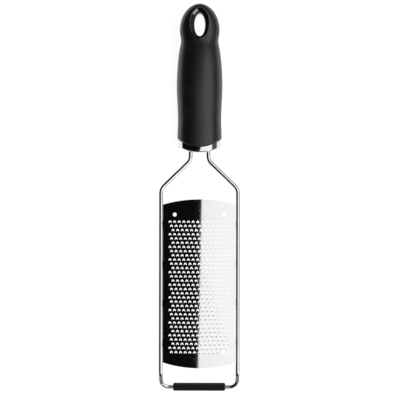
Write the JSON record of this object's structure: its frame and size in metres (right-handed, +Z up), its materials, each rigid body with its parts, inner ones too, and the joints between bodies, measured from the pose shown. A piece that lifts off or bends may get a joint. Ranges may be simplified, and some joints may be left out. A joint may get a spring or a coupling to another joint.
{
  "type": "fine grater",
  "caption": "Fine hand grater: an arched steel blade of raised teeth welded into a bent wire frame, with a soft-touch handle, a lined hanging hole and a rubber foot.",
  "frame": {"origin": "under the middle of the outline, on the surface that the grater lies on", "axes": "+X across the blade, to the right with the handle away; +Y from the foot to the handle; +Z up, out of the cutting face"},
  "size_m": [0.0664, 0.3146, 0.0302],
  "materials": {
    "wire_steel": "polished stainless wire",
    "blade_steel": "mirror-rolled stainless sheet, etched teeth",
    "weld_steel": "as-welded bead, matte",
    "core_plastic": "moulded, matte",
    "collar_steel": "mirror-polished cap",
    "liner_plastic": "moulded, high gloss",
    "soft_grip": "soft-touch overmould, satin",
    "foot_rubber": "moulded, matte"
  },
  "bodies": {
    "root": {"frame_rod": "wire_steel", "blade": "blade_steel", "handle_core": "core_plastic", "collar": "collar_steel", "hang_hole_liner": "liner_plastic", "grip": "soft_grip", "foot": "foot_rubber", "weld_left_1": "weld_steel", "weld_left_2": "weld_steel", "weld_left_3": "weld_steel", "weld_left_4": "weld_steel", "weld_right_1": "weld_steel", "weld_right_2": "weld_steel", "weld_right_3": "weld_steel", "weld_right_4": "weld_steel"}
  },
  "joints": []
}
